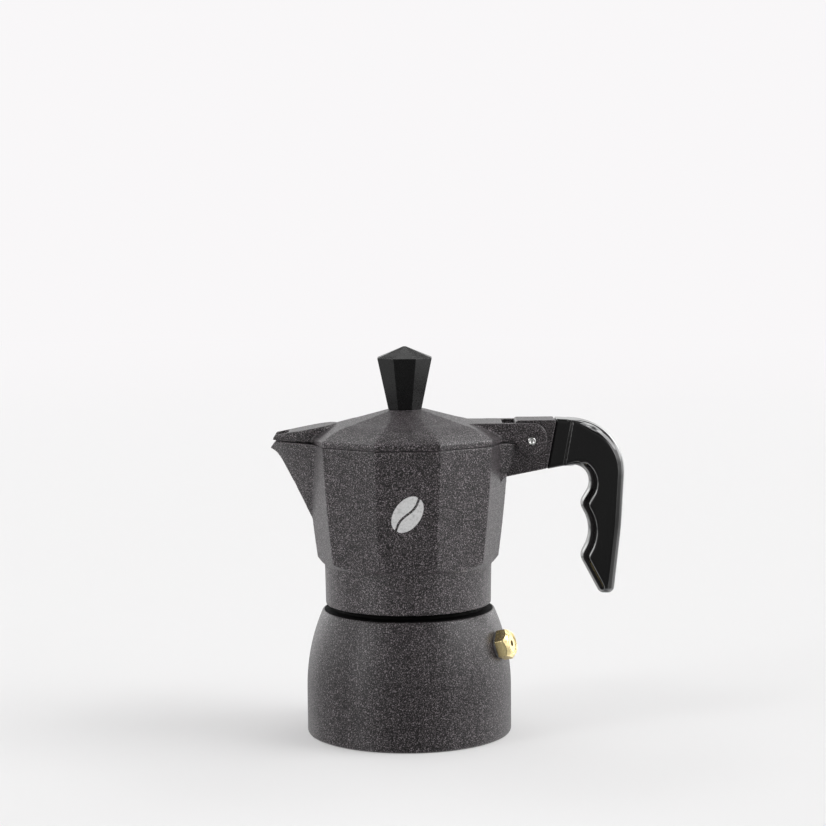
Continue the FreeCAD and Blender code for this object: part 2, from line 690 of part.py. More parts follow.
def make_lid():
    bottom = RIM_Z + LID_GAP
    shell = faceted(lid_section(0, 0), SIDES, HALF_SIDE)
    tongue = slab([
        (20.0, 116.0, 0),
        (20.0, EAR_TOP_Z, 0),
        (LID_BACK_X, EAR_TOP_Z - 0.1, 0.4),
        (LID_BACK_X, bottom, 0),
        (30.0, bottom, 0),
    ], EAR_OUT)
    shell = shell.fuse(make_beak()).fuse(tongue)
    hollow = faceted(lid_section(LID_WALL, LID_WALL), SIDES, HALF_SIDE)
    shell = shell.cut(hollow).cut(beak_hollow())
    # nothing hangs under the skirt, which rises a little over the spout
    under = slab([
        (BIG, bottom, 0),
        (-31.5, bottom, 0),
        (-53.0, bottom + BEAK_RISE, 0),
        (-BIG, bottom + BEAK_RISE, 0),
        (-BIG, bottom - 20, 0),
        (BIG, bottom - 20, 0),
    ], BIG)
    shell = shell.cut(under)
    # room for the bracket between the ears
    notch = block((LID_BACK_X, -EAR_IN, bottom - 1), (60.0, EAR_IN, 130.0))
    shell = shell.cut(notch).fuse(make_ears(bottom, hollow))
    shell = shell.cut(rod(PIN_R + PIN_RUNNING, vec(PIN_X, -BIG, PIN_Z), vec(0, 1, 0), 2 * BIG))
    # flat seat, boss and hole for the knob
    shell = shell.cut(rod(KNOB_SEAT_R, vec(KNOB_X, 0, KNOB_Z), vec(0, 0, 1), 10.0))
    boss = rod(KNOB_BOSS_R, vec(KNOB_X, 0, KNOB_Z - KNOB_BOSS_H), vec(0, 0, 1), KNOB_BOSS_H)
    shell = shell.fuse(boss)
    return shell.cut(rod(KNOB_HOLE_R, vec(KNOB_X, 0, KNOB_Z - 10), vec(0, 0, 1), 20.0))


def octagon(flat, z):
    corner = flat / math.cos(math.pi / 8)
    points = []
    for i in range(9):
        angle = math.pi / 4 * (i + 0.5)
        points.append(vec(KNOB_X + corner * math.cos(angle), corner * math.sin(angle), z))
    return Part.makePolygon(points)


def knob_rod(radius, z_low, height):
    return rod(radius, vec(KNOB_X, 0, z_low), vec(0, 0, 1), height)


def make_knob():
    body = Part.makeLoft([octagon(KNOB_FOOT_FLAT, KNOB_Z), octagon(KNOB_RIM_FLAT, KNOB_RIM_Z)], True, True)
    top = Part.makeLoft([octagon(KNOB_RIM_FLAT, KNOB_RIM_Z), octagon(0.5, KNOB_TOP_Z)], True, True)
    insert_hole = knob_rod(INSERT_R, KNOB_Z - 1, INSERT_H + 1)
    screw_room = knob_rod(KNOB_SCREW_R + 0.2, KNOB_Z - 1, INSERT_H + 3)
    return body.fuse(top).cut(insert_hole).cut(screw_room)


def make_knob_insert():
    return knob_rod(INSERT_R, KNOB_Z, INSERT_H).cut(knob_rod(KNOB_SCREW_R, KNOB_Z - 1, INSERT_H + 2))


def make_knob_washer():
    return knob_rod(WASHER_R, KNOB_WASHER_Z, WASHER_H).cut(
        knob_rod(KNOB_SCREW_R + 0.1, KNOB_WASHER_Z - 1, WASHER_H + 2))


def slotted_screw(seat, shank_r, length, head_r):
    """Pan-head screw that points up, its head bearing at seat from below."""
    head_h = 0.68 * head_r
    shank = rod(shank_r, seat - vec(0, 0, 0.5), vec(0, 0, 1), length + 0.5)
    head = turned([
        (0, 0, 0),
        (head_r, 0, 0.2),
        (head_r - 0.2, -head_h, 1.0),
        (0, -head_h, 0),
    ])
    head.translate(seat)
    slot = block((-head_r - 1, -0.4, -head_h - 1), (head_r + 1, 0.4, -0.55 * head_h))
    slot.translate(seat)
    return shank.fuse(head).cut(slot)


def make_knob_screw():
    length = KNOB_Z + INSERT_H - 0.5 - KNOB_WASHER_Z
    return slotted_screw(vec(KNOB_X, 0, KNOB_WASHER_Z), KNOB_SCREW_R, length, SCREW_HEAD_R)


def make_hinge_pin():
    half = EAR_OUT + 0.4
    pin = rod(PIN_R, vec(PIN_X, -half, PIN_Z), vec(0, 1, 0), 2 * half)
    return pin.makeChamfer(0.3, [edge for edge in pin.Edges if isinstance(edge.Curve, Part.Circle)])


# ---- handle --------------------------------------------------------------------------------
def handle_outline():
    """Side view of the handle with its finger scallops."""
    return [
        (56.9, 121.1, 0),
        (84.2, 119.6, 20.0),
        (81.9, 80.0, 150.0),
        (78.9, 53.5, 2.6),
        (73.6, 53.5, 2.6),
        (66.0, 67.9, 4.5),
        (71.3, 78.0, 14.0),
        (65.9, 88.2, 4.5),
        (76.9, 106.2, 7.0),
        (53.4, 101.8, 0),
    ]


def rounded_sides(grip):
    """Round the long edges of both side panels, as far as the outline allows."""
    rim = [edge for edge in grip.Edges
           if abs(abs(edge.CenterOfMass.y) - HANDLE_HALF) < 1e-3 and edge.BoundBox.YLength < 1e-3
           and edge.BoundBox.XMax > 57.0]
    return grip.makeFillet(HANDLE_EDGE, rim)


def make_handle():
    grip = rounded_sides(slab(handle_outline(), HANDLE_HALF))
    # the neck next to the bracket is a little narrower than the grip
    neck = [
        (50.0, 130.0, 0),
        (60.4, 130.0, 0),
        (57.6, 96.0, 0),
        (50.0, 96.0, 0),
    ]
    grip = grip.cut(slab(neck, BIG).cut(slab(neck, HANDLE_NECK_HALF)))
    socket = block(
        (50.0, -TANG_HALF - SOCKET_PLAY, TANG_LOW_Z - SOCKET_PLAY),
        (TANG_END_X + 0.5, TANG_HALF + SOCKET_PLAY, TANG_HIGH_Z + SOCKET_PLAY))
    foot = vec(HANDLE_SCREW_X, 0, SCREW_ROOM_Z)
    screw_hole = rod(HANDLE_SCREW_R + 0.2, foot, vec(0, 0, 1), 12.0)
    head_room = rod(SCREW_HEAD_R + 0.3, foot, vec(0, 0, 1), SCREW_SEAT_Z - foot.z)
    return grip.cut(socket).cut(screw_hole).cut(head_room)


def make_handle_screw():
    return slotted_screw(vec(HANDLE_SCREW_X, 0, SCREW_SEAT_Z), HANDLE_SCREW_R, SCREW_LENGTH, SCREW_HEAD_R)


# ---- every sub-part and its file ------------------------------------------------------------
SUB_PARTS = {
    "boiler": make_boiler,
    "valve_washer": make_valve_washer,
    "valve_body": make_valve_body,
    "valve_disc": make_valve_disc,
    "valve_plunger": make_valve_plunger,
    "valve_spring": make_valve_spring,
    "funnel_basket": make_funnel_basket,
    "funnel_stem": make_funnel_stem,
    "funnel_strainer": make_funnel_strainer,
    "gasket": make_gasket,
    "filter_plate": make_filter_plate,
    "upper_chamber": make_upper_chamber,
    "lid": make_lid,
    "knob": make_knob,
    "knob_insert": make_knob_insert,
    "knob_washer": make_knob_washer,
    "knob_screw": make_knob_screw,
    "hinge_pin": make_hinge_pin,
    "handle": make_handle,
    "handle_screw": make_handle_screw,
}

os.makedirs("parts", exist_ok=True)
for name, make in SUB_PARTS.items():
    shape = make()
    shape.exportStep("parts/" + name + ".step")
    print(name, "solids", len(shape.Solids), "valid", shape.isValid(), "volume", round(shape.Volume, 1))
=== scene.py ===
"""Looks of the stovetop moka pot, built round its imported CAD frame. Metres, +Z up."""

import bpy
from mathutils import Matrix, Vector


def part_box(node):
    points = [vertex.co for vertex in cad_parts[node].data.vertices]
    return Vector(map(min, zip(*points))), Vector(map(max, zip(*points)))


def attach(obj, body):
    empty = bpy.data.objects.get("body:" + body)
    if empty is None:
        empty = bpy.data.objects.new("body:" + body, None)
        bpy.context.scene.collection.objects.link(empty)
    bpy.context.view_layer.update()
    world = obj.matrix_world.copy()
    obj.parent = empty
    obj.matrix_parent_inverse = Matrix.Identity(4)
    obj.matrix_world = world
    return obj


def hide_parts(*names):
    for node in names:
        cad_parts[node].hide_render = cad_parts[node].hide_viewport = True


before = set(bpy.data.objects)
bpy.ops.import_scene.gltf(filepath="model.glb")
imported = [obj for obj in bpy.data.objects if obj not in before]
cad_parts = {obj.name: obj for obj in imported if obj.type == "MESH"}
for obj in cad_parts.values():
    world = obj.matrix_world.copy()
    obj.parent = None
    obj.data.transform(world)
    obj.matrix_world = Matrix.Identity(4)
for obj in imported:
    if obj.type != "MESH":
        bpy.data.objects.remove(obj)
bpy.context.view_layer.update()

import math

import bmesh
import bpy
import numpy as np
from mathutils import Matrix, Vector
from mathutils.bvhtree import BVHTree

MM = 0.001
WELD = 0.001 * MM              # vertices nearer than this are one

# ---- settings -----------------------------------------------------------------------------
CAST_VOXEL = 0.4 * MM          # size of the skin's cells on the cast parts
CAST_EASE = 4                  # rounds of smoothing that wear a cast edge round
SEAM_EASE = 0.15               # share of that smoothing left where the lid meets the jug
SEAM_CLOSE = 0.08 * MM         # enamel on each of the two edges of the lid's seam
BEAK_CLOSE = 0.12 * MM         # more of it under the beak
BRASS_VOXEL = 0.13 * MM
BRASS_EASE = 3
KNOB_BEVEL = 0.3 * MM

GRAIN_SIZE = 0.42 * MM         # the enamel's grains
CLUSTER_SIZE = 2.6 * MM        # clusters of them
CLUSTER_SHARE = 0.08
GRAIN_DEPTH = 0.05 * MM
PATCH_SIZE = 14 * MM           # faint light and dark patches
CAST_SKIN = (4.0 * MM, 0.04 * MM)  # waves of the sand-cast skin, size and depth

# where the cast parts change from enamel to bare metal; heights are over the part's own foot
THREADS_UP = 50.6 * MM
LEDGE_UP = 47.5 * MM
NECK_R = 30.5 * MM
GAP_SHADE_R = (27.0 * MM, 32.5 * MM)  # painted shade: near-black paint on the boiler's neck and ledge in the gap under the collar, within these radii
THREADS_RUN_OUT = 0.6 * MM     # the painted shade reaches this far past the threads' foot
LEDGE_BAND = 0.3 * MM          # the ledge's edge is kept crisp from this far under it
INSIDE_WALL = 2.0 * MM
BOILER_FLOOR_BELOW = 10.0 * MM
BOILER_SHOULDER_OVER = 20.0 * MM
COLLAR_BORE_R = 30.6 * MM
COLLAR_FOOT_R = 31.9 * MM
COLLAR_FOOT_BAND = 0.6 * MM
RIM_UP = 62.3 * MM
RIM_ENAMEL = 0.8 * MM          # how far the enamel reaches down inside the rim
RIM_BAND = 0.7 * MM            # how much of the rim is kept crisp
BRACKET_X = 38.0 * MM
LID_BARE_R = 34.0 * MM
LID_BACK_X = 36.0 * MM
LID_ENAMEL = 1.5 * MM          # how far the enamel reaches up inside the lid's skirt
SKIRT_BAND = 1.0 * MM          # how much of the skirt is kept crisp
BEAK_ROOT_X = -31.5 * MM
BEAK_CLIMB = 0.075             # slope of the seam under the beak
BEAK_RUN_IN = 4.0 * MM

PIN_HEAD = [(0, -0.30), (0.30, -0.28), (0.52, -0.10), (0.66, 0.02), (0.80, 0.0), (0.93, -0.10), (1.0, -0.32)]
PIN_SIDES = 48

GRIP_CELL = 0.4 * MM           # cell of the handle's skin
GRIP_ROUND = (4.6 * MM, 6.4 * MM)  # radius outside the grip and on its finger side
GRIP_CROWN = (0.3 * MM, 0.8 * MM)  # how far each rounding would stand over the flat face that cuts it off
GRIP_NECK_ROUND = 1.2 * MM         # radius on the narrower neck beside the bracket
GRIP_FULL_HALF = 7.0 * MM
GRIP_NECK_HALF = 5.4 * MM
NECK_LONG = (5.7 * MM, 4.2 * MM)   # length of the neck at its lower and upper edge
NECK_GROWTH = 9.0 * MM             # the rounding grows to its full size over this length
NECK_STEP = 0.9 * MM               # the width does over this one
SIDE_BLEND = 8.0 * MM              # outer rounding turns into the finger side's over this width
OUTLINE_INSET = 2.2 * MM           # where the CAD grip's side is flat, under its own edge rounding
END_OVERRUN = 4.0 * MM
GRIP_MARGIN = 1.3 * MM

BEAN_CENTRE = (0.0, 89.0 * MM)  # printed mark on the front facet, x and z
BEAN_LONG = 7.6 * MM            # half length
BEAN_WIDE = 5.0 * MM            # half width
BEAN_TURN = math.radians(35)
PRINT_THICK = 0.05 * MM
PRINT_PROUD = 0.02 * MM
BEAN_GAP = 0.09                 # half the gap between its halves, share of its half width
BEAN_WAVE = 0.16                # how far the gap swings, likewise
BEAN_REACH = 0.97               # how near the halves come to the ends
BEAN_ROWS = 36
BEAN_COLUMNS = 9

CAMERA_AT = Vector((2.358, -840.0, 201.448)) * MM
CAMERA_AIM = Vector((2.358, 0.0, 123.332)) * MM
CAMERA_LENS = 95.96
CAMERA_SENSOR = 36.0
CAMERA_CLIP = (0.01, 50.0)
CAMERA_ROLL = math.radians(-0.4917)

FLOOR_SHADE = 0.51
FLOOR_GLOW = 0.31
NEAR_FLOOR_R = 0.55
FAR_FLOOR_R = 40.0
FLOOR_SIDES = 96
SWEEP_R = (0.4, 2.6)           # the table turns into the backdrop between these radii
SKY_SEEN = (0.945, 0.93, 0.94)
WALLS = [                      # azimuth from the camera's side towards the handle's, and level
    (-178, 0.50), (-170, 0.55), (-164, 0.80), (-150, 1.45), (-138, 1.60), (-120, 0.95), (-96, 0.85),
    (-86, 0.75), (-76, 0.16), (-66, 0.16), (-61, 3.0), (-54, 3.0), (-51, 0.90), (-40, 0.80), (-30, 0.11),
    (20, 0.11), (45, 0.20), (48, 1.8), (53, 1.8), (56, 0.90), (96, 0.90), (98, 2.4), (108, 2.4), (110, 1.40),
    (136, 1.70), (148, 1.60), (164, 0.80), (170, 0.55), (178, 0.50),
]
HEIGHTS = [                    # height of the direction vector, and share of the wall's level there
    (-1.0, 0.8), (-0.60, 0.8), (-0.42, 0.45), (-0.34, 0.62), (-0.26, 0.62), (-0.22, 0.36), (-0.19, 0.36),
    (-0.155, 0.68), (-0.10, 0.9), (-0.06, 1.0), (0.06, 1.0), (0.17, 2.2), (0.34, 2.2), (0.48, 0.15),
    (0.68, 0.15), (0.73, 2.5), (0.79, 2.5), (0.84, 0.15), (1.0, 0.15),
]
AIR = 0.065                    # level added from every side
SUNS = [                       # name, azimuth, elevation and width in degrees, power
    ("key_right", 80, 36, 34, 1.28),
    ("fill_left", -70, 38, 30, 0.35),
]


# ---- materials -------------------------------------------------------------------------------
def colour_ramp(tree, value, stops):
    """Ramp through (position, colour) stops; a colour's parts may be over 1."""
    made = tree.nodes.new("ShaderNodeValToRGB")
    elements = made.color_ramp.elements
    while len(elements) < len(stops):
        elements.new(1.0)
    for element, (position, colour) in zip(elements, stops):
        element.position = position
        element.color = (*colour, 1.0)
    tree.links.new(value, made.inputs["Fac"])
    return made.outputs["Color"]


class Shader:
    """One Principled material and the nodes that feed it."""

    def __init__(self, name, **uniform):
        self.material = bpy.data.materials.new(name)
        self.material.use_nodes = True
        self.tree = self.material.node_tree
        self.bsdf = self.tree.nodes["Principled BSDF"]
        self.place = self.node("ShaderNodeTexCoord").outputs["Object"]
        for socket, value in uniform.items():
            self.bsdf.inputs[socket.replace("_", " ")].default_value = value

    def node(self, kind, **settings):
        made = self.tree.nodes.new(kind)
        for name, value in settings.items():
            setattr(made, name, value)
        return made

    def join(self, source, target):
        self.tree.links.new(source, target)

    def noise(self, size, detail=2.0, rough=0.5, stretch=(1, 1, 1), offset=0.0):
        """Noise whose blobs are about size across, in metres; stretch lengthens them along an axis."""
        mapping = self.node("ShaderNodeMapping")
        mapping.inputs["Scale"].default_value = [1 / (size * s) for s in stretch]
        mapping.inputs["Location"].default_value = (offset, offset, offset)
        self.join(self.place, mapping.inputs["Vector"])
        made = self.node("ShaderNodeTexNoise")
        made.inputs["Scale"].default_value = 1.0
        made.inputs["Detail"].default_value = detail
        made.inputs["Roughness"].default_value = rough
        self.join(mapping.outputs["Vector"], made.inputs["Vector"])
        return made.outputs["Fac"]

    def ramp(self, value, stops):
        return colour_ramp(self.tree, value, stops)

    def span(self, value, low, high, from_low=0.3, from_high=0.7):
        """Maps a noise value onto low..high."""
        made = self.node("ShaderNodeMapRange")
        made.inputs["From Min"].default_value = from_low
        made.inputs["From Max"].default_value = from_high
        made.inputs["To Min"].default_value = low
        made.inputs["To Max"].default_value = high
        self.join(value, made.inputs["Value"])
        return made.outputs["Result"]

    def add_share(self, main, other, share):
        """The main noise pushed up and down by a share of the other, about a middle of 0.5."""
        made = self.node("ShaderNodeMath", operation="MULTIPLY_ADD")
        self.join(other, made.inputs[0])
        made.inputs[1].default_value = share
        self.join(main, made.inputs[2])
        centred = self.node("ShaderNodeMath", operation="SUBTRACT")
        self.join(made.outputs[0], centred.inputs[0])
        centred.inputs[1].default_value = share / 2
        return centred.outputs[0]

    def blend(self, factor, first, second):
        made = self.node("ShaderNodeMix", data_type="RGBA")
        self.join(factor, made.inputs["Factor"])
        self.join(first, made.inputs["A"])
        self.join(second, made.inputs["B"])
        return made.outputs["Result"]

    def bump(self, height, depth, strength=1.0, over=None):
        made = self.node("ShaderNodeBump")
        made.inputs["Strength"].default_value = strength
        made.inputs["Distance"].default_value = depth
        self.join(height, made.inputs["Height"])
        if over is not None:
            self.join(over, made.inputs["Normal"])
        return made.outputs["Normal"]

    def colour(self, source):
        self.join(source, self.bsdf.inputs["Base Color"])

    def rough(self, source):
        self.join(source, self.bsdf.inputs["Roughness"])

    def normal(self, source):
        self.join(source, self.bsdf.inputs["Normal"])


def grey(value, warm=1.0, cool=1.0):
    return (value * warm, value, value * cool)


def grains(levels, share):
    """Stops of a grain ramp, each level in the enamel's slightly violet grey."""
    return [(at, (level * share, level * share * 0.885, level * share * 0.935)) for at, level in levels]


COAT_DARK = [(0.30, 0.001), (0.42, 0.008), (0.50, 0.028), (0.58, 0.080), (0.70, 0.30)]
COAT_LIGHT = [(0.30, 0.002), (0.42, 0.011), (0.50, 0.034), (0.58, 0.094), (0.70, 0.33)]


def cast_coat(name, share, gloss):
    """Satin anthracite enamel over a sand-cast skin, with paler and darker grains in it."""
    s = Shader(name, Specular_IOR_Level=gloss)
    fine = s.noise(GRAIN_SIZE, detail=1.5, rough=0.6)
    grain = s.add_share(fine, s.noise(CLUSTER_SIZE, detail=1.0, offset=3.0), CLUSTER_SHARE)
    patch = s.noise(PATCH_SIZE, detail=2.0, offset=5.0)
    dark = s.ramp(grain, grains(COAT_DARK, share))
    light = s.ramp(grain, grains(COAT_LIGHT, share))
    s.colour(s.blend(patch, dark, light))
    s.rough(s.span(s.noise(0.8 * MM, detail=2.0, offset=9.0), 0.32, 0.46))
    skin = s.bump(s.noise(CAST_SKIN[0], detail=1.0, offset=2.0), CAST_SKIN[1])
    s.normal(s.bump(grain, GRAIN_DEPTH, 0.8, skin))
    return s.material


def moulded(name, level, rough_low, rough_high, coat, ripple, gloss=0.5):
    """Black moulded phenolic: near-black, with faint flow marks and a skin that is not quite flat."""
    s = Shader(name, Coat_Weight=coat, Coat_Roughness=0.05, IOR=1.5, Specular_IOR_Level=gloss)
    flow = s.noise(9 * MM, detail=3.0, stretch=(1, 1, 2.5))
    s.colour(s.ramp(flow, [(0.3, grey(level * 0.8)), (0.7, grey(level * 1.25, 1.0, 1.02))]))
    s.rough(s.span(s.noise(2.5 * MM, detail=4.0, rough=0.6, offset=3.0), rough_low, rough_high))
    broad = s.bump(s.noise(11 * MM, detail=1.0, offset=7.0), ripple)
    s.normal(s.bump(s.noise(0.5 * MM, detail=2.0), 0.004 * MM, 1.0, broad))
    return s.material


def metal(name, colour, rough_low, rough_high, grain_size, stretch, depth, tarnish=0.12):
    """Bare metal with tool marks drawn out along one axis and faint stains."""
    s = Shader(name, Metallic=1.0)
    marks = s.noise(grain_size, detail=3.0, rough=0.6, stretch=stretch)
    stain = s.noise(5 * MM, detail=3.0, offset=4.0)
    worn = tuple(c * (1 - tarnish) for c in colour)
    bright = tuple(min(1.0, c * (1 + tarnish * 0.5)) for c in colour)
    s.colour(s.ramp(stain, [(0.3, worn), (0.7, bright)]))
    s.rough(s.span(marks, rough_low, rough_high))
    s.normal(s.bump(marks, depth))
    return s.material


def silicone():
    s = Shader("gasket_silicone", Subsurface_Weight=0.15, Subsurface_Scale=0.002, Sheen_Weight=0.2)
    s.colour(s.ramp(s.noise(6 * MM, detail=3.0), [(0.3, (0.74, 0.72, 0.67)), (0.7, (0.86, 0.85, 0.81))]))
    s.rough(s.span(s.noise(1.5 * MM), 0.45, 0.6))
    s.normal(s.bump(s.noise(0.6 * MM, detail=2.0), 0.01 * MM))
    return s.material


def print_ink():
    """Pale pad-printed ink that the grain of the enamel shows through."""
    s = Shader("print_ink")
    grain = s.noise(0.8 * MM, detail=3.0, rough=0.6)
    s.colour(s.ramp(grain, [(0.32, grey(0.46)), (0.45, grey(0.60)), (0.7, grey(0.70))]))
    s.rough(s.span(grain, 0.4, 0.6))
    s.normal(s.bump(grain, GRAIN_DEPTH))
    return s.material


COAT = cast_coat("cast_coat", 1.0, 0.5)
# Painted shade: the boiler takes the jug's enamel drawn darker (share 0.78), so that it reads less lit than
# the jug.
BOILER_COAT_SHADED = cast_coat("boiler_coat_painted_shade", 0.78, 0.38)
BARE_CAST = metal("bare_cast", (0.60, 0.60, 0.61), 0.38, 0.55, 0.7 * MM, (1, 1, 1), 0.03 * MM, 0.2)
GRIP_BLACK = moulded("handle_gloss", 0.0025, 0.05, 0.10, 0.75, 0.02 * MM, 0.55)
KNOB_BLACK = moulded("knob_satin", 0.006, 0.22, 0.32, 0.0, 0.03 * MM)
BRASS = metal("brass", (1.0, 0.80, 0.42), 0.24, 0.36, 0.5 * MM, (1, 1, 3), 0.002 * MM)
STEEL = metal("steel", (0.56, 0.56, 0.57), 0.22, 0.40, 0.4 * MM, (1, 1, 3), 0.006 * MM)
PIN_STEEL = metal("pin_steel", (0.74, 0.74, 0.73), 0.16, 0.30, 0.3 * MM, (1, 4, 1), 0.005 * MM)
SPRING_STEEL = metal("spring_steel", (0.48, 0.48, 0.50), 0.2, 0.35, 0.2 * MM, (1, 1, 1), 0.004 * MM)
DRAWN = metal("drawn_aluminium", (0.78, 0.78, 0.79), 0.24, 0.42, 0.5 * MM, (1, 1, 6), 0.008 * MM)
PUNCHED = metal("punched_aluminium", (0.72, 0.72, 0.73), 0.28, 0.45, 0.6 * MM, (4, 1, 1), 0.008 * MM)
SOFT_ALU = metal("soft_aluminium", (0.66, 0.66, 0.66), 0.4, 0.55, 0.5 * MM, (1, 1, 1), 0.01 * MM)
SILICONE = silicone()
INK = print_ink()
# Near-black paint that stands in for the shade in the gap between boiler and collar: painted shade.
GAP_SHADE_PAINT = moulded("painted_gap_shade", 0.002, 0.6, 0.8, 0.0, 0.02 * MM, 0.1)


# ---- mesh helpers ----------------------------------------------------------------------------
def new_piece(name, mesh, materials):
    piece = bpy.data.objects.new(name, mesh)
    bpy.context.scene.collection.objects.link(piece)
    mesh.materials.clear()
    for material in materials:
        mesh.materials.append(material)
    return piece


def mesh_of(bm, name):
    """A new mesh with the bmesh's shape; the bmesh is freed."""
    mesh = bpy.data.meshes.new(name)
    bm.to_mesh(mesh)
    bm.free()
    return mesh


def applied(piece):
    """Bakes a piece's modifiers into its mesh."""
    graph = bpy.context.evaluated_depsgraph_get()
    mesh = bpy.data.meshes.new_from_object(piece.evaluated_get(graph))
    piece.modifiers.clear()
    piece.data = mesh
    return piece


def smooth_faces(mesh):
    mesh.polygons.foreach_set("use_smooth", np.ones(len(mesh.polygons), dtype=bool))


def welded_copy(node, name):
    """A CAD node's mesh with the seams between its faces joined."""
    bm = bmesh.new()
    bm.from_mesh(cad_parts[node].data)
    bmesh.ops.remove_doubles(bm, verts=bm.verts, dist=WELD)
    return mesh_of(bm, name)


def vertex_points(mesh):
    points = np.empty(len(mesh.vertices) * 3)
    mesh.vertices.foreach_get("co", points)
    return points.reshape(-1, 3)


def from_axis(points):
    return np.hypot(points[:, 0], points[:, 1])


def outwards(centres, normals):
    """How far each face looks away from the boiler's axis, times its distance from it."""
    return (centres[:, :2] * normals[:, :2]).sum(1)


def stand_for(piece, node, body):
    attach(piece, body)
    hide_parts(node)


def worn_skin(node, name, voxel, ease, materials, at_seam=None, seam_lift=None):
    """The CAD node's shape with its edges worn round, less so where at_seam(points) holds; seam_lift(x)
    is how far up that part moves, so that two enamelled edges nearly meet."""
    piece = new_piece(name, welded_copy(node, name), materials)
    remesh = piece.modifiers.new("skin", "REMESH")
    remesh.mode = "VOXEL"
    remesh.voxel_size = voxel
    remesh.use_smooth_shade = True
    applied(piece)
    smooth = piece.modifiers.new("ease", "SMOOTH")
    smooth.factor = 0.5
    smooth.iterations = ease
    if at_seam is not None:
        seam = at_seam(vertex_points(piece.data))
        worn = piece.vertex_groups.new(name="worn")
        worn.add(np.flatnonzero(~seam).tolist(), 1.0, "REPLACE")
        worn.add(np.flatnonzero(seam).tolist(), SEAM_EASE, "REPLACE")
        smooth.vertex_group = worn.name
    applied(piece)
    if seam_lift is not None:
        points = vertex_points(piece.data)
        points[seam, 2] += seam_lift(points[seam, 0])
        piece.data.vertices.foreach_set("co", points.ravel())
        piece.data.update()
    return piece


def paint(piece, *is_painted):
    """Gives the second, third... material to the faces for which its is_painted(centres, normals) holds."""
    mesh = piece.data
    count = len(mesh.polygons)
    centres = np.empty(count * 3)
    normals = np.empty(count * 3)
    mesh.polygons.foreach_get("center", centres)
    mesh.polygons.foreach_get("normal", normals)
    index = np.zeros(count, dtype=np.int32)
    for slot, test in enumerate(is_painted, start=1):
        index[test(centres.reshape(-1, 3), normals.reshape(-1, 3))] = slot
    mesh.polygons.foreach_set("material_index", index)
    mesh.update()


# ---- cast parts --------------------------------------------------------------------------------
def boiler():
    low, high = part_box("boiler")
    threads_z = low.z + THREADS_UP

    def bare(centres, normals):
        radius = from_axis(centres)
        towards_axis = outwards(centres, normals) < 0
        height = centres[:, 2]
        up = normals[:, 2]
        within = radius < high.x - INSIDE_WALL
        inner_floor = (height < low.z + BOILER_FLOOR_BELOW) & within & (up > 0.2)
        neck = (height > threads_z) & (radius < NECK_R)
        under_shoulder = within & (up < -0.2) & (height > low.z + BOILER_SHOULDER_OVER)
        wall = towards_axis & within & (up < 0.5)
        return inner_floor | neck | under_shoulder | wall

    # Painted shade: neck and ledge faces inside the gap under the collar take the near-black paint.
    def gap_shade_faces(centres, normals):
        radius = from_axis(centres)
        outward = outwards(centres, normals) > -0.2 * radius
        over_ledge = (centres[:, 2] > low.z + LEDGE_UP) & (centres[:, 2] < threads_z + THREADS_RUN_OUT)
        return outward & over_ledge & (radius > GAP_SHADE_R[0]) & (radius < GAP_SHADE_R[1])

    def at_ledge(points):
        return (points[:, 2] > low.z + LEDGE_UP - LEDGE_BAND) & (from_axis(points) > NECK_R)

    piece = worn_skin("boiler", "boiler_cast", CAST_VOXEL, CAST_EASE, [BOILER_COAT_SHADED, BARE_CAST, GAP_SHADE_PAINT],
                      at_ledge)
    paint(piece, bare, gap_shade_faces)
    stand_for(piece, "boiler", "base")


def jug():
    foot_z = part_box("upper_chamber")[0].z
    collar_foot_z = foot_z + COLLAR_FOOT_BAND
    rim_top = foot_z + RIM_UP
    bare_top = rim_top - RIM_ENAMEL

    def bare(centres, normals):
        radius = from_axis(centres)
        towards_axis = outwards(centres, normals) < -0.2 * radius
        in_bore = (radius < COLLAR_BORE_R) & (centres[:, 2] > collar_foot_z)
        wall = towards_axis & (centres[:, 0] < BRACKET_X) & (centres[:, 2] > collar_foot_z)
        return (in_bore | wall) & (centres[:, 2] < bare_top)

    # Painted shade: the collar foot's underside takes the near-black paint.
    def gap_shade_faces(centres, normals):
        return (normals[:, 2] < -0.7) & (centres[:, 2] < collar_foot_z) & (from_axis(centres) < COLLAR_FOOT_R)

    def at_rim(points):
        rim = (points[:, 2] > rim_top - RIM_BAND) & (points[:, 0] < BRACKET_X)
        return rim | (points[:, 2] < collar_foot_z + 0.4 * MM)

    piece = worn_skin("upper_chamber", "jug_cast", CAST_VOXEL, CAST_EASE, [COAT, BARE_CAST, GAP_SHADE_PAINT], at_rim,
                      lambda x: SEAM_CLOSE)
    paint(piece, bare, gap_shade_faces)
    stand_for(piece, "upper_chamber", "jug")
    return piece


def lid():
    edge_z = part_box("upper_chamber")[0].z + RIM_UP

    def bare(centres, normals):
        under = normals[:, 2] < -0.3
        return under & (from_axis(centres) < LID_BARE_R) & (centres[:, 2] > edge_z + LID_ENAMEL)

    def at_skirt(points):
        over_spout = np.clip(BEAK_ROOT_X - points[:, 0], 0, None) * BEAK_CLIMB
        return (points[:, 2] < edge_z + over_spout + SKIRT_BAND) & (points[:, 0] < LID_BACK_X)

    def lift(x):
        return -SEAM_CLOSE - BEAK_CLOSE * np.clip((BEAK_ROOT_X - x) / BEAK_RUN_IN, 0, 1)

    piece = worn_skin("lid", "lid_cast", CAST_VOXEL, CAST_EASE, [COAT, BARE_CAST], at_skirt, lift)
    paint(piece, bare)
    stand_for(piece, "lid", "lid_set")


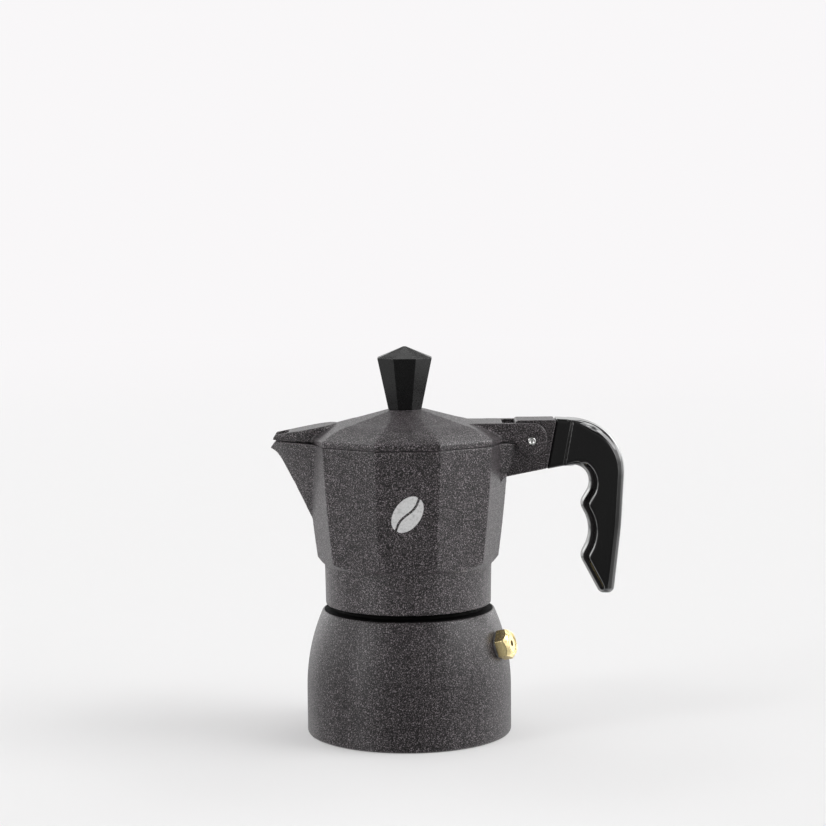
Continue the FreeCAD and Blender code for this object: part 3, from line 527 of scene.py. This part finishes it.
# ---- knob, valve, pin ------------------------------------------------------------------------
def knob():
    """Eight-sided moulded knob: the CAD facets with a fine rounded edge."""
    mesh = welded_copy("knob", "knob_moulded")
    bm = bmesh.new()
    bm.from_mesh(mesh)
    bmesh.ops.dissolve_limit(bm, angle_limit=math.radians(1), verts=bm.verts, edges=bm.edges)
    bm.to_mesh(mesh)
    bm.free()
    piece = new_piece("knob_moulded", mesh, [KNOB_BLACK])
    bevel = piece.modifiers.new("edge", "BEVEL")
    bevel.width = KNOB_BEVEL
    bevel.segments = 3
    bevel.limit_method = "ANGLE"
    bevel.angle_limit = math.radians(8)
    bevel.harden_normals = False
    applied(piece)
    smooth_faces(piece.data)
    piece.data.set_sharp_from_angle(angle=math.radians(40))
    weighted = piece.modifiers.new("even", "WEIGHTED_NORMAL")
    weighted.keep_sharp = True
    stand_for(piece, "knob", "lid_set")


def valve():
    piece = worn_skin("valve_body", "valve_turned", BRASS_VOXEL, BRASS_EASE, [BRASS])
    stand_for(piece, "valve_body", "base")


def lathe(profile, sides, name):
    """Mesh turned about Z from (radius, height) points; a point on the axis closes it there."""
    bm = bmesh.new()
    turns = [2 * math.pi * i / sides for i in range(sides)]
    rings = []
    for radius, height in profile:
        around = turns if radius else [0.0]
        rings.append([bm.verts.new((radius * math.cos(t), radius * math.sin(t), height)) for t in around])
    for lower, upper in zip(rings, rings[1:]):
        for i in range(sides):
            j = (i + 1) % sides
            corners = [lower[i % len(lower)], lower[j % len(lower)],
                       upper[j % len(upper)], upper[i % len(upper)]]
            bm.faces.new(list(dict.fromkeys(corners)))
    bmesh.ops.recalc_face_normals(bm, faces=bm.faces)
    return mesh_of(bm, name)


def hinge_pin():
    """Steel pin with upset ends: a rolled rim round a shallow dimple. PIN_HEAD is in pin radii."""
    low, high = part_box("hinge_pin")
    centre = (low + high) / 2
    radius = (high.z - low.z) / 2
    half = (high.y - low.y) / 2
    head = [(r * radius, half + z * radius) for r, z in PIN_HEAD]
    profile = [(r, -z) for r, z in head] + head[::-1]
    mesh = lathe(profile, PIN_SIDES, "hinge_pin_turned")
    mesh.transform(Matrix.Translation(centre) @ Matrix.Rotation(math.radians(90), 4, "X"))
    smooth_faces(mesh)
    piece = new_piece("hinge_pin_turned", mesh, [PIN_STEEL])
    stand_for(piece, "hinge_pin", "jug")


# ---- handle ------------------------------------------------------------------------------------
def side_outline(node, y):
    """The outline that the plane at y cuts from a CAD node, as an ordered array of (x, z)."""
    bm = bmesh.new()
    bm.from_mesh(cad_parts[node].data)
    bmesh.ops.remove_doubles(bm, verts=bm.verts, dist=WELD)
    everything = bm.verts[:] + bm.edges[:] + bm.faces[:]
    cut = bmesh.ops.bisect_plane(bm, geom=everything, plane_co=(0, y, 0), plane_no=(0, 1, 0))["geom_cut"]
    edges = {e for e in cut if isinstance(e, bmesh.types.BMEdge)}
    start = min((v for e in edges for v in e.verts), key=lambda v: v.co.x - v.co.z)
    loop = [start]
    while True:
        step = next((e for e in loop[-1].link_edges if e in edges), None)
        if step is None:
            break
        edges.remove(step)
        loop.append(step.other_vert(loop[-1]))
    points = np.array([(v.co.x, v.co.z) for v in loop[:-1]])
    bm.free()
    return points


def segment_distance(points, first, last):
    """Distance from each (x, z) point to the nearest of the segments first..last."""
    best = np.full(len(points), np.inf)
    for a, b in zip(first, last):
        along = b - a
        share = np.clip((points - a) @ along / (along @ along), 0, 1)
        best = np.minimum(best, np.hypot(*(points - a - share[:, None] * along).T))
    return best


def inside_outline(points, outline):
    """Even-odd test of (x, z) points against a closed outline."""
    inside = np.zeros(len(points), dtype=bool)
    for a, b in zip(outline, np.roll(outline, -1, axis=0)):
        crosses = (a[1] > points[:, 1]) != (b[1] > points[:, 1])
        rise = b[1] - a[1] if b[1] != a[1] else 1.0
        inside ^= crosses & (points[:, 0] < (b[0] - a[0]) * (points[:, 1] - a[1]) / rise + a[0])
    return inside


def ease_step(value):
    value = np.clip(value, 0, 1)
    return value * value * (3 - 2 * value)


def rounded_and(a, b, radius):
    """Common of two fields, its edge rounded to the radius."""
    corner = np.hypot(np.maximum(a + radius, 0), np.maximum(b + radius, 0)) - radius
    return np.where((a > -radius) & (b > -radius), corner, np.maximum(a, b))


def skin_of(field, low, high, cell, name):
    """Closed mesh where field(points) is zero: surface nets, then steps onto the surface."""
    counts = [int(math.ceil((b - a) / cell)) + 1 for a, b in zip(low, high)]
    axes = [a + cell * np.arange(n) for a, n in zip(low, counts)]
    grid = np.stack(np.meshgrid(*axes, indexing="ij"), -1)
    inside = (field(grid.reshape(-1, 3)) < 0).reshape(counts)
    corners = sum(inside[i:counts[0] - 1 + i, j:counts[1] - 1 + j, k:counts[2] - 1 + k].astype(int)
                  for i in (0, 1) for j in (0, 1) for k in (0, 1))
    mixed = (corners > 0) & (corners < 8)
    number = np.full(mixed.shape, -1)
    number[mixed] = np.arange(mixed.sum())
    points = np.array(low) + (np.argwhere(mixed) + 0.5) * cell
    faces = []
    for axis in range(3):
        u, v = (axis + 1) % 3, (axis + 2) % 3
        here = np.take(inside, range(counts[axis] - 1), axis)
        there = np.take(inside, range(1, counts[axis]), axis)
        for leaving in (True, False):
            at = np.argwhere((here & ~there) if leaving else (~here & there))
            step_u, step_v = np.eye(3, dtype=int)[[u, v]]
            ring = [at, at - step_u, at - step_u - step_v, at - step_v]
            quad = np.stack([number[tuple(r.T)] for r in ring], 1)
            faces.append(quad if leaving else quad[:, ::-1])
    faces = np.concatenate(faces)
    probe = 0.02 * MM
    for sweep in range(5):
        slope = np.stack([(field(points + probe * e) - field(points - probe * e)) / (2 * probe)
                          for e in np.eye(3)], 1)
        size = np.maximum((slope ** 2).sum(1), 0.25)
        step = (field(points) / size)[:, None] * slope
        points = points - np.clip(step, -cell, cell)
        if sweep in (1, 2, 3):
            points = evened(points, faces)
    mesh = bpy.data.meshes.new(name)
    mesh.from_pydata(points.tolist(), [], faces.tolist())
    mesh.update()
    smooth_faces(mesh)
    return mesh


def evened(points, faces):
    """Each vertex moved half way to the middle of the quads round it."""
    middle = points[faces].mean(1)
    total = np.zeros_like(points)
    count = np.zeros(len(points))
    for corner in range(4):
        np.add.at(total, faces[:, corner], middle)
        np.add.at(count, faces[:, corner], 1)
    return 0.5 * points + 0.5 * total / np.maximum(count, 1)[:, None]


def handle():
    """Moulded grip: fuller rounding outside than on the finger side, and a slimmer neck."""
    low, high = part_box("handle")
    outline = side_outline("handle", low.y + OUTLINE_INSET)
    top_left = int(np.argmin(outline[:, 0] - outline[:, 1]))
    outline = np.roll(outline, -top_left, axis=0)
    if outline[1, 0] < outline[-1, 0]:
        outline = np.roll(outline[::-1], 1, axis=0)
    tip = int(np.argmin(outline[:, 1]))
    end_low = outline[-1]
    end_face = outline[0] - end_low
    end_out = np.array([-end_face[1], end_face[0]]) / np.hypot(*end_face)
    overrun = end_out * END_OVERRUN
    extended = np.vstack([outline[0] + overrun, outline, end_low + overrun])
    tip += 1
    outer = extended[:tip + 1]
    inner = extended[tip:]
    face_length = np.hypot(*end_face)

    def field(points):
        flat = points[:, [0, 2]]
        d_outer = segment_distance(flat, outer[:-1], outer[1:])
        d_inner = segment_distance(flat, inner[:-1], inner[1:])
        sign = np.where(inside_outline(flat, extended), -1.0, 1.0)
        edge = sign * np.minimum(d_outer, d_inner)
        from_end = -((flat - end_low) @ end_out)
        height = np.clip((flat - end_low) @ end_face / face_length ** 2, 0, 1)
        past_neck = from_end - NECK_LONG[0] - (NECK_LONG[1] - NECK_LONG[0]) * height
        half = GRIP_NECK_HALF + (GRIP_FULL_HALF - GRIP_NECK_HALF) * ease_step(past_neck / NECK_STEP)
        side = ease_step(0.5 + (d_inner - d_outer) / SIDE_BLEND)
        growth = ease_step(past_neck / NECK_GROWTH)
        radius = GRIP_ROUND[1] + (GRIP_ROUND[0] - GRIP_ROUND[1]) * side
        crown = GRIP_CROWN[1] + (GRIP_CROWN[0] - GRIP_CROWN[1]) * side
        radius = GRIP_NECK_ROUND + (radius - GRIP_NECK_ROUND) * growth
        across = np.abs(points[:, 1]) - half
        body = rounded_and(edge, across - crown * growth, radius)
        return np.maximum(np.maximum(body, across), -from_end)

    margin = Vector((GRIP_MARGIN, GRIP_MARGIN, GRIP_MARGIN))
    mesh = skin_of(field, low - margin, high + margin, GRIP_CELL, "handle_moulded")
    piece = new_piece("handle_moulded", mesh, [GRIP_BLACK])
    stand_for(piece, "handle", "jug")


# ---- printed mark ------------------------------------------------------------------------------
def bean_mark(jug_piece):
    """A plain coffee bean printed on the front facet: two halves with a wavy gap between."""
    tree = BVHTree.FromObject(jug_piece, bpy.context.evaluated_depsgraph_get())
    bm = bmesh.new()
    cos_turn, sin_turn = math.cos(BEAN_TURN), math.sin(BEAN_TURN)
    for side in (-1, 1):
        grid = []
        for i in range(BEAN_ROWS + 1):
            v = BEAN_REACH * (2 * i / BEAN_ROWS - 1)
            edge = math.sqrt(1 - v * v)
            seam = BEAN_WAVE * math.sin(math.pi * v) + side * BEAN_GAP
            line = []
            for j in range(BEAN_COLUMNS + 1):
                u = seam + (side * edge - seam) * j / BEAN_COLUMNS
                x = BEAN_CENTRE[0] + BEAN_WIDE * u * cos_turn + BEAN_LONG * v * sin_turn
                z = BEAN_CENTRE[1] - BEAN_WIDE * u * sin_turn + BEAN_LONG * v * cos_turn
                hit = tree.ray_cast(Vector((x, -1.0, z)), Vector((0, 1, 0)))[0]
                line.append(bm.verts.new((x, hit.y - PRINT_PROUD, z)))
            grid.append(line)
        for lower, upper in zip(grid, grid[1:]):
            for j in range(BEAN_COLUMNS):
                bm.faces.new([lower[j], lower[j + 1], upper[j + 1], upper[j]])
    bmesh.ops.recalc_face_normals(bm, faces=bm.faces)
    mesh = mesh_of(bm, "bean_print")
    if mesh.polygons[0].normal.y > 0:
        mesh.flip_normals()
    piece = new_piece("bean_print", mesh, [INK])
    solid = piece.modifiers.new("film", "SOLIDIFY")
    solid.thickness = PRINT_THICK
    solid.offset = 1.0
    applied(piece)
    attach(piece, "jug")


# ---- small CAD nodes that keep their shape -------------------------------------------------------
def dress_small_nodes():
    looks = {
        "valve_washer": SOFT_ALU, "valve_disc": BRASS, "valve_plunger": STEEL, "valve_spring": SPRING_STEEL,
        "funnel_basket": DRAWN, "funnel_stem": DRAWN, "funnel_strainer": PUNCHED, "filter_plate": PUNCHED,
        "gasket": SILICONE, "knob_insert": BRASS, "knob_washer": STEEL, "knob_screw": STEEL,
        "handle_screw": STEEL,
    }
    for node, material in looks.items():
        for mesh_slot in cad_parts[node].material_slots:
            mesh_slot.material = material


# ---- studio ------------------------------------------------------------------------------------
def disc(name, inner, outer, material):
    """Flat ring on the floor, or a disc if inner is 0."""
    mesh = lathe([(inner, 0), (outer, 0)], FLOOR_SIDES, name)
    if mesh.polygons[0].normal.z < 0:
        mesh.flip_normals()
    piece = new_piece(name, mesh, [material])
    return piece


def floor():
    """Pale paper that sweeps up into the backdrop. The pot's gloss shows the studio's walls and not it."""
    s = Shader("table_paper", Roughness=0.85, Specular_IOR_Level=0.0, Emission_Strength=1.0)
    radius = s.node("ShaderNodeVectorMath", operation="LENGTH")
    s.join(s.place, radius.inputs[0])
    sweep = s.span(radius.outputs["Value"], 0.0, 1.0, *SWEEP_R)
    sweep.node.interpolation_type = "SMOOTHSTEP"
    glow = (FLOOR_GLOW, FLOOR_GLOW * 0.985, FLOOR_GLOW * 0.99)
    s.colour(s.ramp(sweep, [(0.0, grey(FLOOR_SHADE)), (1.0, grey(0.0))]))
    s.join(s.ramp(sweep, [(0.0, glow), (1.0, SKY_SEEN)]), s.bsdf.inputs["Emission Color"])
    near = disc("table_near", 0, NEAR_FLOOR_R, s.material)
    near.visible_glossy = False
    far = disc("table_far", NEAR_FLOOR_R, FAR_FLOOR_R, s.material)
    far.visible_glossy = False
    far.visible_diffuse = False


def sun(name, azimuth, elevation, width, power):
    """Broad even light. Azimuth 0 comes from the camera's side and 90 from the handle's."""
    data = bpy.data.lights.new(name, "SUN")
    data.angle = math.radians(width)
    data.energy = power
    lamp = bpy.data.objects.new(name, data)
    a, e = math.radians(azimuth), math.radians(elevation)
    towards = Vector((math.sin(a) * math.cos(e), -math.cos(a) * math.cos(e), math.sin(e)))
    lamp.rotation_euler = towards.to_track_quat("Z", "Y").to_euler()
    bpy.context.scene.collection.objects.link(lamp)


def studio_air():
    """Studio walls as seen from the pot: pale behind and beside it, dark round the camera."""
    world = bpy.data.worlds.new("studio_air")
    world.use_nodes = True
    tree = world.node_tree
    back = tree.nodes["Background"]
    place = tree.nodes.new("ShaderNodeTexCoord").outputs["Generated"]
    round_about = tree.nodes.new("ShaderNodeTexGradient")
    round_about.gradient_type = "RADIAL"
    tree.links.new(place, round_about.inputs["Vector"])
    stops = sorted(((0.25 + azimuth / 360) % 1, grey(level)) for azimuth, level in WALLS)
    walls = colour_ramp(tree, round_about.outputs["Fac"], stops)
    split = tree.nodes.new("ShaderNodeSeparateXYZ")
    tree.links.new(place, split.inputs[0])
    height = tree.nodes.new("ShaderNodeMath")
    height.operation = "MULTIPLY_ADD"
    height.inputs[1].default_value = 0.5
    height.inputs[2].default_value = 0.5
    tree.links.new(split.outputs["Z"], height.inputs[0])
    share = colour_ramp(tree, height.outputs[0], [((z + 1) / 2, grey(v)) for z, v in HEIGHTS])
    lit = tree.nodes.new("ShaderNodeMath")
    lit.operation = "MULTIPLY_ADD"
    lit.inputs[2].default_value = AIR
    tree.links.new(walls, lit.inputs[0])
    tree.links.new(share, lit.inputs[1])
    seen = tree.nodes.new("ShaderNodeMix")
    seen.data_type = "RGBA"
    seen.inputs["B"].default_value = (*SKY_SEEN, 1)
    path = tree.nodes.new("ShaderNodeLightPath")
    tree.links.new(path.outputs["Is Camera Ray"], seen.inputs["Factor"])
    tree.links.new(lit.outputs[0], seen.inputs["A"])
    tree.links.new(seen.outputs["Result"], back.inputs["Color"])
    bpy.context.scene.world = world


def studio():
    floor()
    for name, azimuth, elevation, width, power in SUNS:
        sun(name, azimuth, elevation, width, power)
    studio_air()
    bpy.context.scene.view_settings.view_transform = "Standard"


def camera():
    data = bpy.data.cameras.new("camera")
    data.sensor_width = CAMERA_SENSOR
    data.lens = CAMERA_LENS
    data.clip_start, data.clip_end = CAMERA_CLIP
    ahead = (CAMERA_AIM - CAMERA_AT).normalized()
    right = ahead.cross(Vector((0, 0, 1))).normalized()
    up = right.cross(ahead)
    rolled_right = right * math.cos(CAMERA_ROLL) + up * math.sin(CAMERA_ROLL)
    rolled_up = up * math.cos(CAMERA_ROLL) - right * math.sin(CAMERA_ROLL)
    turn = Matrix((rolled_right, rolled_up, -ahead)).transposed()
    seen = bpy.data.objects.new("camera", data)
    seen.matrix_world = Matrix.Translation(CAMERA_AT) @ turn.to_4x4()
    bpy.context.scene.collection.objects.link(seen)
    bpy.context.scene.camera = seen


boiler()
jug_piece = jug()
lid()
knob()
valve()
hinge_pin()
handle()
bean_mark(jug_piece)
dress_small_nodes()
studio()
camera()

bpy.context.view_layer.update()
